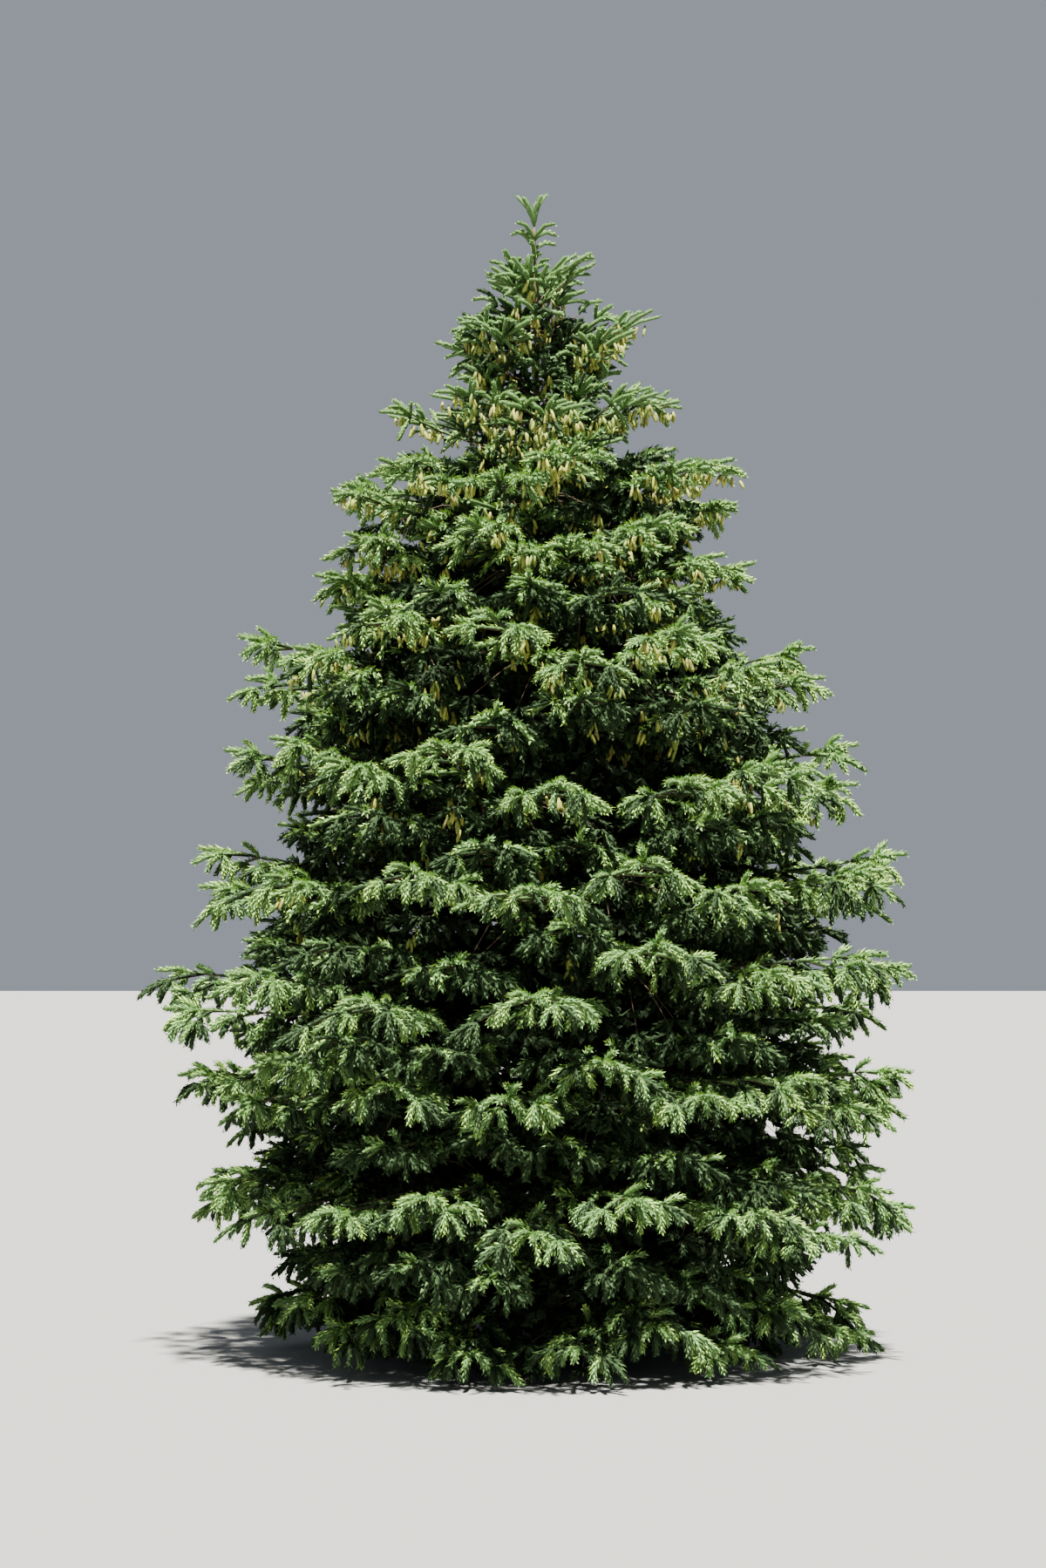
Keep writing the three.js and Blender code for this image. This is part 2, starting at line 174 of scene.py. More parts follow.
# Twigs and shoots
YEAR = 0.145  # a year's growth, which is one shoot
SHOOT_RADIUS = 0.0190
TOP_SHOOT_RADIUS = 0.0130
WORN_DROP = 0.07  # worn shoots get as much painted shade as ones that hang this much lower
BLUE_TIERS = 4  # from the ground, whose shoots are mostly blue, as above TOP_LEVEL
STATION = YEAR * 1.15  # along an arm, from one pair of side twigs to the next
LAST_STATION = 0.6  # how much longer the last stretch is, at the arm's tip
STEM_START = 0.6  # the share of the trunk's radius at which a stem without a bough starts
ARM_TAPER = 0.75
TWIG_WOOD = 0.0042
TWIG_TAPER = 0.6
TWIG_ARCH = 0.3
TWIG_LEAST = 0.085
TWIG_TURN = 137.5  # degrees from one twig to the next round the trunk
BESIDE_TRUNK = 24  # short twigs on the trunk in each of the upper tiers
BESIDE_SIZE = YEAR * 0.92  # their shoots
BESIDE_RADII = (0.004, 0.0035, 0.003)
LEADER_TWIGS = 9  # places on the leader that bear twigs or shoots
LEADER_TWIGS_FROM = 4.20
LEADER_TWIGS_APART = 0.046
LEADER_PAIRS_FROM = 4.42  # below this height there is one twig at each place, and above it two shoots
LEADER_CONE = 4.62  # the height at which twigs on the leader would have no length
LEADER_SLOPE = 0.46  # how much longer they are for each metre below it
LEADER_RADII = (0.0036, 0.003, 0.0024)

# How needles stand on a shoot. Shares are of its length, from its foot.
NEEDLE_WIDTH = 0.0074
NEEDLE_WIDTH_POWER = 0.7  # by which needles are narrower on thinner shoots
NEEDLE_TURN = 2.399963  # from one needle to the next round the shoot
NEEDLES_UP_TO = 0.985
NEEDLE_FOOT = 0.7  # the share of the core's radius at which one starts
NEEDLE_REACH = 1.04  # the share of the shoot's radius that one reaches
NEEDLE_SHORTER = 0.3  # how much shorter they are at the tip
NEEDLE_CLOSER = 4  # degrees by which they lie closer along the shoot
NEEDLE_OPENER = 17  # degrees by which they open again at its tip
NEEDLE_ROLL = 0.4
NEEDLE_ROLL_STEP = 2.1
UNDERSIDE = -0.25  # needles that point further down than this show their pale side
BRIGHT_OF_FIVE = (0, 2)  # which of each five needles are bright, a painted highlight,
BRIGHT_UP_TO = 0.88  # up to this share

# Cones
CONE_SHARES = {4: 0.06, 5: 0.20, 6: 0.46, 7: 0.62, 8: 0.7, 9: 0.8, 10: 0.75, 11: 0.1}  # of a tier's twigs
CONES_UP_TO = 0.74  # of an arm's length
CONE_LENGTH = (0.046, 0.058)
CONE_RADIUS = (0.0066, 0.0080)
CONES_IN_ROW = (3, 9)

# Shaded sprays
HEART_HANDS = 225  # in the heart of a tier with full reach
HEART_EDGE = 0.66  # the share of the crown's radius that they keep within
LOW_HANDS = 80  # near the ground, round the trunk
UNDER_HANDS = 78  # under a tier with full reach
CONED_LEVEL = 5  # from this tier on those have many cones
UNDER_CONES = 1.3  # times as many, as sprays and as cones
SHADED_GIRTH = 0.14  # a shaded shoot's radius against its length
UNDER_GIRTH = 0.145
UNDER_SIZE = 0.135
SHADED_LOWEST = 0.06
SHADED_TIP_LOWEST = 0.03
BEARING_RADII = (0.0028, 0.0022, 0.0016)
BEARING_FROM = 0.75  # the share of a spray's distance from the trunk at which its twig leaves the arm
BEARING_LAST = 0.9  # of the arm's length
BEARING_ARCH = 0.08

# The wood of the trunk and the boughs
TRUNK_CROWDED = 1.25  # how the trunk's rings crowd towards its foot
TRUNK_UNDER_BARK = 0.0004
COLLAR = 0.7  # how much thicker a bough is where it leaves the trunk
COLLAR_LENGTH = 0.05
NEARBY = 0.01  # a small step, over which a direction is measured

rng = np.random.default_rng(seed=731)
UP = Vector((0, 0, 1))


def chance(*keys):
    """A number from -1 to 1 that is the same each time for the same keys, as in the solids."""
    mixed = SEED + sum(key * (12.9898 + 65.233 * place) for place, key in enumerate(keys))
    wave = math.sin(mixed) * 43758.5453
    return 2 * (wave - math.floor(wave)) - 1


def draw(low, high):
    return float(rng.uniform(low, high))


def degrees(low, high):
    return math.radians(draw(low, high))


def smooth(share):
    return share * (2 - share)


def clamp(value, low, high):
    return min(max(value, low), high)


def trunk_centre(z):
    share = clamp(z / TRUNK_TOP, 0, 1)
    return Vector((LEAN_X * share ** LEAN_POWER, BOW * math.sin(math.pi * share), z))


def trunk_radius(z):
    share = clamp(z / TRUNK_TOP, 0, 1)
    return TRUNK_FOOT_RADIUS + (TRUNK_TIP_RADIUS - TRUNK_FOOT_RADIUS) * share ** TRUNK_TAPER


def drawn(tier, heading, size):
    """A size of a tier in a heading, drawn by its climb towards that of the tier over it or under it."""
    turn = math.radians(CLIMB_TURN * tier.level)
    fore_and_aft = math.cos(turn) * math.sin(heading)
    diagonal = CLIMB_DIAGONAL * math.sin(turn) * math.sin(2 * heading)
    edge = min(tier.level, LAST_LEVEL - tier.level, CLIMB_EDGE) / CLIMB_EDGE
    climb = CLIMB_MOST * edge * (fore_and_aft + diagonal)
    neighbour = TIERS[tier.level + (climb > 0) - (climb < 0)]
    own = getattr(tier, size)
    return own + (getattr(neighbour, size) - own) * abs(climb)


def tier_height(tier, heading, radius):
    share = radius / drawn(tier, heading, "reach")
    trunk_z = drawn(tier, heading, "trunk_z")
    rise = (drawn(tier, heading, "tip_z") - trunk_z) * share
    return trunk_z + rise + tier.arch * math.sin(math.pi * min(share, 1))


def tier_point(tier, heading, radius, lift=0.0):
    centre = trunk_centre(tier.trunk_z)
    x = centre.x + radius * math.cos(heading)
    y = centre.y + radius * math.sin(heading)
    return Vector((x, y, tier_height(tier, heading, radius) + lift))


def tier_reach(tier, heading):
    left = drawn(tier, heading, "left")
    right = drawn(tier, heading, "right")
    return (left + right) / 2 + (right - left) / 2 * math.cos(heading)


def mass_heading(tier, index):
    return math.radians(tier.heading) + 2 * math.pi * index / tier.masses


def crown_radius(z):
    """How wide the crown is at a height."""
    heights = [tier.tip_z for tier in TIERS] + [CROWN_TOP]
    return float(np.interp(z, heights, [tier.reach for tier in TIERS] + [LEADER_REACH]))


def depth_in_crown(point):
    """0 at the trunk and 1 at the crown's edge."""
    centre = trunk_centre(point.z)
    return math.hypot(point.x - centre.x, point.y - centre.y) / crown_radius(point.z)


class Arm:
    """One arm of a mass: where it runs, and how far its side twigs reach."""

    def __init__(self, tier, index, place):
        key = tier.level * 10 + index
        side = (2 * place + 1) / ARM_COUNT - 1
        self.tier = tier
        self.heading = mass_heading(tier, index)
        self.turned = self.heading + tier.half_sector * (ARM_SPREAD * side + ARM_WANDER * chance(key, place))
        sideways = abs(math.cos(self.turned)) > ARM_SIDEWAYS
        short = 1 if sideways else 1 - ARM_SHORT * (1 - chance(key, place, 3))
        self.reach = tier_reach(tier, self.turned) * short
        self.lift = ARM_LIFTS[(int(place) + index + tier.level) % len(ARM_LIFTS)] * math.sqrt(tier.slimness)
        self.leaves = self.heading + ARM_ROOT_SPREAD * side * tier.stem_radius / tier.fork
        self.start = tier.fork - tier.stem_radius
        self.wood = ARM_WOOD * tier.stem_radius
        self.between = ARM_SPREAD * tier.half_sector / ARM_COUNT
        self.length = self.reach - tier.fork
        self.seed = key + 100 * place
        self.bare = SPRAY_BARE
        self.width = SPRAY_WIDTH
        self.shade = 0.0  # how far it lies under the sprays that shade it, which deepens the painted shade of its shoots

    def height_over_tier(self, heading, radius):
        return 0.0

    def point(self, share):
        turned = self.leaves + (self.turned - self.leaves) * smooth(share)
        radius = self.start + (self.reach - self.start) * share
        lift = self.lift * smooth(share) + self.height_over_tier(turned, radius)
        return tier_point(self.tier, turned, radius, lift)

    def along(self, share):
        return (self.point(share + NEARBY) - self.point(share - NEARBY)).normalized()

    def side_reach(self, share, step):
        lead = min(share + step * FINGER_LEAD, FINGER_LAST)
        swollen = SWELL_START + SWELL_LENGTH * (share + step / 2 - self.bare) / (1 - self.bare)
        free = self.length * self.width * max(math.sin(math.pi * swollen), SWELL_LEAST) ** SWELL_POWER
        radius = self.reach - self.length * (1 - lead)
        room = SPRAY_ROOM * radius * math.sin(self.between * smooth(lead))
        return min(free, room)


class LooseArm(Arm):
    """A thinner bough of its own, which leaves the trunk between two tiers and runs out between two arms."""

    def __init__(self, tier, index, place):
        super().__init__(tier, index, place + 0.5)
        self.over = TIERS[tier.level + 1]
        self.blend = draw(*LOOSE_BETWEEN)
        mean_reach = self.reach + (tier_reach(self.over, self.turned) - self.reach) * self.blend
        if tier.level >= HIGH_LEVEL:
            shortest = LOOSE_SHORTEST_HIGH
        elif abs(math.cos(self.turned)) > LOOSE_SIDEWAYS:
            shortest = LOOSE_SHORTEST_ASIDE
        else:
            shortest = LOOSE_SHORTEST
        self.reach = mean_reach * draw(shortest, shortest + LOOSE_RANGE)
        self.turned += degrees(-LOOSE_TURN, LOOSE_TURN)
        self.leaves = self.turned
        self.start = trunk_radius(tier.trunk_z) * LOOSE_START
        self.wood = LOOSE_WOOD * tier.stem_radius
        self.length = self.reach - self.start
        self.bare = LOOSE_BARE
        self.width = SPRAY_WIDTH * LOOSE_WIDTH
        self.between *= LOOSE_ROOM
        self.lift = draw(-LOOSE_LIFT, LOOSE_LIFT)
        self.shade = LOOSE_SHADE

    def height_over_tier(self, heading, radius):
        gap = tier_height(self.over, heading, radius) - tier_height(self.tier, heading, radius)
        return self.blend * gap


# Joined meshes from arrays

def joined_piece(name, points, triangles, materials, material_of=None, smooth_faces=None):
    mesh = bpy.data.meshes.new(name)
    points = np.array(points, dtype=np.float32)
    points[:, 2] = np.maximum(points[:, 2], LOWEST)
    mesh.vertices.add(len(points))
    mesh.vertices.foreach_set("co", points.ravel())
    mesh.loops.add(triangles.size)
    mesh.loops.foreach_set("vertex_index", np.ascontiguousarray(triangles, dtype=np.int32).ravel())
    mesh.polygons.add(len(triangles))
    mesh.polygons.foreach_set("loop_start", np.arange(0, triangles.size, 3, dtype=np.int32))
    for material in materials:
        mesh.materials.append(material)
    if material_of is not None:
        mesh.polygons.foreach_set("material_index", np.ascontiguousarray(material_of, dtype=np.int32))
    mesh.update(calc_edges=True)
    if smooth_faces is not None:
        mesh.polygons.foreach_set("use_smooth", smooth_faces)
    piece = bpy.data.objects.new(name, mesh)
    bpy.context.collection.objects.link(piece)
    return piece


def unit(vectors):
    return vectors / np.maximum(np.linalg.norm(vectors, axis=-1, keepdims=True), 1e-9)


def level_side(ahead):
    """A level direction square to each of these, or straight to the right where they stand upright."""
    side = np.cross(ahead, np.array([0.0, 0.0, 1.0]))
    upright = np.linalg.norm(side, axis=1) < 0.05
    side[upright] = np.array([1.0, 0.0, 0.0])
    return unit(side)


def side_by_side(corners, faces):
    """Points and triangles of many like shapes, from each corner's places and one shape's faces."""
    points = np.stack(corners, axis=1).reshape(-1, 3)
    starts = np.arange(len(corners[0]))[:, None, None] * len(corners)
    return points, (np.array(faces)[None, :, :] + starts).reshape(-1, 3)


# How a shoot is made: the sides of its core, the core's rings (share of the length, share of the core's
# radius) and the core as a share of the whole radius, then its needles, the share of its foot that is bare of
# them, how many degrees they stand out there and how wide they are against the others. Without a core the
# needles are wide enough to fill the shoot.
Build = namedtuple("Build", "sides rings core needles bare slant width")
FULL_RINGS = ((0.0, 0.3), (0.18, 0.92), (0.55, 1.0), (0.9, 0.88))
PLAIN_RINGS = ((0.0, 0.3), (0.22, 1.0), (0.9, 0.92))
SLEEK_RINGS = ((0.0, 0.4), (0.18, 0.92), (0.55, 1.0), (0.92, 0.9))
FULL = Build(3, FULL_RINGS, core=0.64, needles=36, bare=0.144, slant=31, width=1)
PLAIN = Build(3, PLAIN_RINGS, core=0.5, needles=17, bare=0.176, slant=33, width=1.5)
SHADED = Build(0, (), core=0, needles=12, bare=0.04, slant=36, width=3.6)
SLEEK = Build(4, SLEEK_RINGS, core=0.8, needles=28, bare=0.144, slant=26, width=1)  # near the top


class Bundle:
    """Many shoots of one build. Each corner and each face is worked out once, for all of them together."""

    def __init__(self, build, rows):
        rows = np.array(rows)
        self.build = build
        self.root = rows[:, 0:3]
        self.axis = rows[:, 3:6] - self.root
        arch, self.radius, colour, self.turn, self.fullness = rows[:, 6:].T
        self.colour = colour.astype(int)
        # Shoots whose colour is a painted shade.
        self.dark = np.isin(self.colour, (PAINTED_DEEP_SHADE, SHADE, PAINTED_INNER_SHADE))
        forward = unit(self.axis)
        self.side = level_side(forward)
        self.over = np.cross(self.side, forward)
        self.bend = self.over * arch[:, None]
        self.corners = []
        self.faces = []
        self.kinds = []
        self.rounded = []

    def middle(self, share):
        return self.root + self.axis * share + self.bend * (4 * share * (1 - share))

    def ahead(self, share):
        return unit(self.axis + self.bend * (4 * (1 - 2 * share)))

    def add_face(self, corners, kind, rounded):
        self.faces.append(corners)
        self.kinds.append(kind)
        self.rounded.append(rounded)

    def add_core(self):
        """The core: rings of corners, closed at its foot and pointed at its tip."""
        sides, rings = self.build.sides, self.build.rings
        for share, size in rings:
            for corner in range(sides):
                angle = 2 * math.pi * (corner + 0.5) / sides
                out = self.side * math.cos(angle) + self.over * math.sin(angle)
                reach = self.radius * self.build.core * size
                self.corners.append(self.middle(share) + out * reach[:, None])
        self.corners.append(self.middle(1.0))
        last, tip = (len(rings) - 1) * sides, len(rings) * sides
        faces = [(0, corner, corner + 1) for corner in range(1, sides - 1)]
        for ring in range(len(rings) - 1):
            for corner in range(sides):
                here, beside = ring * sides + corner, ring * sides + (corner + 1) % sides
                faces += [(here, beside + sides, beside), (here, here + sides, beside + sides)]
        faces += [(last + corner, tip, last + (corner + 1) % sides) for corner in range(sides)]
        # Cores of shoots in painted shade are painted darker still; the others have the core's own colour.
        kind = np.where(self.colour == PAINTED_DEEP_SHADE, SHADE, np.where(self.dark, PAINTED_INNER_SHADE, CORE))
        for face in faces:
            self.add_face(face, kind, True)

    def add_needle(self, number, share):
        """The same needle of each shoot, a long triangle that stands on the core and leans ahead."""
        build = self.build
        angle = self.turn + NEEDLE_TURN * number
        ahead = self.ahead(share)
        out = self.side * np.cos(angle)[:, None] + self.over * np.sin(angle)[:, None]
        out = unit(out - ahead * np.sum(out * ahead, axis=1, keepdims=True))
        lean = math.radians(build.slant - NEEDLE_CLOSER * share + NEEDLE_OPENER * share ** 5)
        roll = NEEDLE_ROLL * math.sin(NEEDLE_ROLL_STEP * number)
        flat = out * math.cos(lean) - ahead * math.sin(lean)
        across = np.cross(ahead, out) * math.cos(roll) + flat * math.sin(roll)
        stands_out = self.radius * self.fullness * (NEEDLE_REACH - NEEDLE_FOOT * build.core)
        length = stands_out * (1 - NEEDLE_SHORTER * share ** 4) / math.sin(lean)
        width = NEEDLE_WIDTH * build.width * (self.radius / SHOOT_RADIUS) ** NEEDLE_WIDTH_POWER
        foot = self.middle(share) + out * (self.radius * build.core * NEEDLE_FOOT)[:, None]
        along = (out * math.sin(lean) + ahead * math.cos(lean)) * length[:, None]
        half = across * (width / 2)[:, None]
        first = len(self.corners)
        self.corners += [foot + half, foot + along, foot - half]
        self.add_face((first, first + 1, first + 2), self.needle_kind(number, share, out), False)

    def needle_kind(self, number, share, out):
        """Some needles are painted lighter as a painted highlight, and those under a shoot without painted
        shade show their pale side.
        """
        kind = self.colour
        if number % 5 in BRIGHT_OF_FIVE and share < BRIGHT_UP_TO:
            kind = np.where(self.dark, kind, PAINTED_HIGHLIGHT)
            if number % 5 == 0:
                kind = np.where(self.colour == PAINTED_DEEP_SHADE, CORE, kind)
        return np.where((out[:, 2] < UNDERSIDE) & ~self.dark, PALE, kind)

    def arrays(self):
        build = self.build
        if build.sides:
            self.add_core()
        for number in range(build.needles):
            share = build.bare + (NEEDLES_UP_TO - build.bare) * (number + 0.5) / build.needles
            self.add_needle(number, share)
        points, triangles = side_by_side(self.corners, self.faces)
        return points, triangles, np.stack(self.kinds, axis=1).ravel(), np.tile(self.rounded, len(self.root))


class Shoots:
    """The shoots of one piece, of every build."""

    def __init__(self):
        self.rows = {FULL: [], PLAIN: [], SHADED: [], SLEEK: []}

    def add(self, build, root, tip, arch, radius, colour):
        row = (*root, *tip, arch, radius, colour, draw(0, 2 * math.pi), draw(0.85, 1.15))
        self.rows[build].append(row)

    def piece(self, name, finishes):
        parts = [Bundle(build, rows).arrays() for build, rows in self.rows.items() if rows]
        points, triangles, kinds, rounded = zip(*parts)
        starts = np.cumsum([0] + [len(part) for part in points])
        triangles = np.concatenate([part + start for part, start in zip(triangles, starts)])
        kinds, rounded = np.concatenate(kinds), np.concatenate(rounded)
        return joined_piece(name, np.concatenate(points), triangles, finishes, kinds, rounded)


class Tubes:
    """Tapering woody twigs with few sides, joined in one piece."""

    def __init__(self):
        self.points = []
        self.triangles = []
        self.count = 0

    def add(self, path, radii, sides):
        path = np.array([tuple(point) for point in path])
        ahead = unit(np.gradient(path, axis=0))
        side = level_side(ahead)
        over = np.cross(side, ahead)
        angles = 2 * math.pi * np.arange(sides) / sides
        rings = [side * math.cos(a) + over * math.sin(a) for a in angles]
        ring_points = path[:, None, :] + np.stack(rings, axis=1) * np.array(radii)[:, None, None]
        first, last = self.count, self.count + (len(path) - 1) * sides
        for ring in range(len(path) - 1):
            for corner in range(sides):
                here = first + ring * sides + corner
                beside = first + ring * sides + (corner + 1) % sides
                self.triangles += [(here, beside + sides, beside), (here, here + sides, beside + sides)]
        for corner in range(1, sides - 1):
            self.triangles.append((first, first + corner, first + corner + 1))
            self.triangles.append((last, last + corner + 1, last + corner))
        self.points.append(ring_points.reshape(-1, 3))
        self.count += len(path) * sides

    def piece(self, name, finish):
        points, triangles = np.concatenate(self.points), np.array(self.triangles)
        return joined_piece(name, points, triangles, [finish], smooth_faces=[True] * len(triangles))


class Cones:
    """Hanging seed cones, with rings of scales turned against each other, joined in one piece."""

    SIDES = 5
    PROFILE = ((0.0, 0.45), (0.3, 1.0), (0.78, 0.8))  # share of the length, share of the radius
    ASLANT = (0.31, 0.95, 0.05)  # a direction that no cone hangs along

    def __init__(self):
        self.rows = []

    def add(self, top, down, length, radius, colour):
        self.rows.append((*top, *down, length, radius, draw(0, 2 * math.pi), colour))

    def piece(self, name, finishes):
        rows = np.array(self.rows)
        top, down = rows[:, 0:3], unit(rows[:, 3:6])
        length, radius, turn, colour = rows[:, 6:].T
        side = unit(np.cross(down, self.ASLANT))
        over = np.cross(down, side)
        sides, last = self.SIDES, len(self.PROFILE) - 1
        corners = []
        for ring, (share, size) in enumerate(self.PROFILE):
            for corner in range(sides):
                angle = turn + 2 * math.pi * (corner + 0.5 * (ring % 2)) / sides
                out = side * np.cos(angle)[:, None] + over * np.sin(angle)[:, None]
                corners.append(top + down * (length * share)[:, None] + out * (radius * size)[:, None])
        corners.append(top + down * length[:, None])
        faces = [(0, corner + 1, corner) for corner in range(1, sides - 1)]
        for ring in range(last):
            for corner in range(sides):
                here, beside = ring * sides + corner, ring * sides + (corner + 1) % sides
                above, above_beside = here + sides, beside + sides
                if ring % 2 == 0:
                    faces += [(here, beside, above), (beside, above_beside, above)]
                else:
                    faces += [(here, beside, above_beside), (here, above_beside, above)]
        for corner in range(sides):
            faces.append((last * sides + corner, last * sides + (corner + 1) % sides, (last + 1) * sides))
        points, triangles = side_by_side(corners, faces)
        return joined_piece(name, points, triangles, finishes, np.repeat(colour.astype(int), len(faces)))


# Shader maths

class Value:
    """A socket of a material, with arithmetic that adds its nodes."""

    def __init__(self, finish, socket):
        self.finish = finish
        self.socket = socket

    def math(self, operation, first, second):
        return self.finish.node("ShaderNodeMath", {"operation": operation}, {0: first, 1: second})

    def __add__(self, other):
        return self.math("ADD", self, other)

    __radd__ = __add__

    def __sub__(self, other):
        return self.math("SUBTRACT", self, other)

    def __rsub__(self, other):
        return self.math("SUBTRACT", other, self)

    def __mul__(self, other):
        return self.math("MULTIPLY", self, other)

    __rmul__ = __mul__


class Finish:
    """A material and its Principled shader, whose constant sockets are set straight away."""

    def __init__(self, name, constants):
        self.material = bpy.data.materials.new(name)
        self.material.use_nodes = True
        self.tree = self.material.node_tree
        self.shader = self.tree.nodes["Principled BSDF"]
        for socket, value in constants.items():
            self.shader.inputs[socket].default_value = value

    def node(self, kind, settings, inputs, output=0):
        node = self.tree.nodes.new(kind)
        for name, value in settings.items():
            if name == "stops":
                ramp = node.color_ramp.elements
                while len(ramp) < len(value):
                    ramp.new(0.5)
                for element, (position, colour) in zip(ramp, value):
                    element.position = position
                    element.color = colour
            else:
                setattr(node, name, value)
        for socket, value in inputs.items():
            if isinstance(value, Value):
                self.tree.links.new(value.socket, node.inputs[socket])
            else:
                node.inputs[socket].default_value = value
        return Value(self, node.outputs[output])

    def feed(self, socket, value):
        self.tree.links.new(value.socket, self.shader.inputs[socket])

    def place(self, scale):
        spot = self.node("ShaderNodeTexCoord", {}, {}, "Object")
        return self.node("ShaderNodeMapping", {}, {"Vector": spot, "Scale": scale})


def needle_finish(name, colour, roughness=0.62, specular=0.15):
    constants = {
        "Base Color": (*colour, 1),
        "Roughness": roughness,
        "Specular IOR Level": specular,
    }
    return Finish(name, constants).material


def bark_finish(name, dark, mid, pale, grain, depth):
    """Flaky bark: plates stretched along the limb, with finer scales on them and pale edges."""
    finish = Finish(name, {"Roughness": 0.9, "Specular IOR Level": 0.25})
    stretch = 0.45
    spot = finish.place((grain, grain, grain * stretch))
    cells = {"Vector": spot, "Scale": 1.0}
    plates = finish.node("ShaderNodeTexVoronoi", {"feature": "F1"}, cells, "Distance")
    scales = finish.node("ShaderNodeTexNoise", {}, {"Vector": spot, "Scale": 2.6, "Detail": 6.0})
    patches = finish.node("ShaderNodeTexNoise", {}, {"Vector": spot, "Scale": 0.18, "Detail": 3.0})
    worn = plates * 0.45 + scales * 0.4 + patches * 0.25
    stops = [(0.28, (*dark, 1)), (0.5, (*mid, 1)), (0.72, (*pale, 1))]
    finish.feed("Base Color", finish.node("ShaderNodeValToRGB", {"stops": stops}, {"Fac": worn}))
    finish.feed("Roughness", 0.98 - 0.25 * scales)
    height = plates * 0.6 + scales * 0.4
    bump = finish.node("ShaderNodeBump", {}, {"Strength": 0.7, "Distance": depth, "Height": height})
    finish.feed("Normal", bump)
    return finish.material


def cone_finish(name, dark, pale):
    finish = Finish(name, {"Roughness": 0.6, "Specular IOR Level": 0.35})
    spot = finish.place((1, 1, 1))
    flecks = finish.node("ShaderNodeTexNoise", {}, {"Vector": spot, "Scale": 160.0, "Detail": 2.0})
    stops = [(0.35, (*dark, 1)), (0.65, (*pale, 1))]
    finish.feed("Base Color", finish.node("ShaderNodeValToRGB", {"stops": stops}, {"Fac": flecks}))
    return finish.material


# Colours are linear. The deep, inner and shade finishes are painted shade, and the highlight finish is a
# painted highlight.
SHOOT_FINISHES = [
    needle_finish("needle_painted_deep_shade", (0.026, 0.053, 0.019), roughness=0.7),
    needle_finish("needle_mid", (0.160, 0.306, 0.058)),
    needle_finish("needle_fresh", (0.260, 0.418, 0.070)),
    needle_finish("needle_blue", (0.163, 0.320, 0.110)),
    needle_finish("needle_painted_highlight", (0.342, 0.550, 0.124)),
    needle_finish("needle_pale", (0.232, 0.398, 0.140)),
    needle_finish("needle_painted_inner_shade", (0.013, 0.022, 0.010), roughness=0.9, specular=0.05),
    needle_finish("needle_core", (0.064, 0.128, 0.037)),
    needle_finish("needle_shade", (0.019, 0.036, 0.014), roughness=0.8, specular=0.1),
]
PAINTED_DEEP_SHADE, MID, FRESH, BLUE, PAINTED_HIGHLIGHT, PALE, PAINTED_INNER_SHADE, CORE, SHADE = range(len(SHOOT_FINISHES))

TWIG_BARK = bark_finish(
    "twig_bark",
    dark=(0.022, 0.015, 0.009),
    mid=(0.050, 0.034, 0.020),
    pale=(0.095, 0.066, 0.040),
    grain=120,
    depth=0.001,
)
BOUGH_BARK = bark_finish(
    "bough_bark",
    dark=(0.030, 0.022, 0.016),
    mid=(0.100, 0.074, 0.052),
    pale=(0.21, 0.17, 0.13),
    grain=70,
    depth=0.002,
)
TRUNK_BARK = bark_finish(
    "trunk_bark",
    dark=(0.036, 0.021, 0.010),
    mid=(0.095, 0.056, 0.026),
    pale=(0.14, 0.088, 0.043),
    grain=55,
    depth=0.003,
)
CONE_TAN = cone_finish("cone_tan", (0.20, 0.205, 0.036), (0.38, 0.410, 0.066))
CONE_GREEN = cone_finish("cone_green", (0.13, 0.180, 0.034), (0.29, 0.37, 0.072))
CONE_BROWN = cone_finish("cone_brown", (0.13, 0.115, 0.030), (0.27, 0.245, 0.058))


# Growth

class Crown:
    """The shoots that grow on some tiers, and the shade that the next ones stand in, which is painted into
    their colour.
    """

    def __init__(self):
        self.shoots = Shoots()
        self.roof = 0.0  # the height from which the next shoots hang into the painted shade
        self.shaded = False  # whether the next shoots lie under other sprays as a whole

    def shoot(self, level, root, direction, length, arch, worn=False):
        """A year's growth with its needles. It has all of them where it can be seen from outside, unless it
        is worn, as the older ones along the twigs are. In the heart of the crown most are left out."""
        top = level > TOP_LEVEL
        radius = TOP_SHOOT_RADIUS if top else SHOOT_RADIUS
        tip = root + direction * length
        tip.z = max(tip.z, 2 * LOWEST + radius)
        middle = root.lerp(tip, 0.6)
        depth = 1.0 if root.z > LEADER_HEIGHT else depth_in_crown(middle)
        if level < TOP_LEVEL and depth < HEART and draw(0, 1) < HEART_BARE:
            return
        outside = depth > OUTER or root.z > OPEN_HEIGHT
        hidden = depth < INSIDE or (depth < (INSIDE + OUTER) / 2 and (worn or self.shaded))
        colour = needle_colour(level, depth, self.roof - middle.z + (WORN_DROP if worn else 0))
        # Hidden shoots get the deep painted shade.
        if hidden and not outside:
            build, colour = SHADED, PAINTED_DEEP_SHADE
        elif worn or self.shaded or not outside:
            build = PLAIN
        else:
            build = SLEEK if top else FULL
        fullness = 0.8 if worn else 1.0 if outside else 1.1
        self.shoots.add(build, root, tip, arch * length, radius * draw(0.9, 1.1) * fullness, colour)


def needle_colour(level, depth, drop):
    """Painted shade: dark inside the crown and where the shoot hangs well below the twig's own height."""
    if draw(0.15, 0.82) > depth or draw(0.02, 0.15) < drop:
        return PAINTED_DEEP_SHADE
    lot = draw(0, 1)
    if level < BLUE_TIERS or level > TOP_LEVEL:
        return BLUE if lot < 0.5 else MID if lot < 0.75 else FRESH
    return FRESH if lot < 0.45 else MID if lot < 0.85 else BLUE


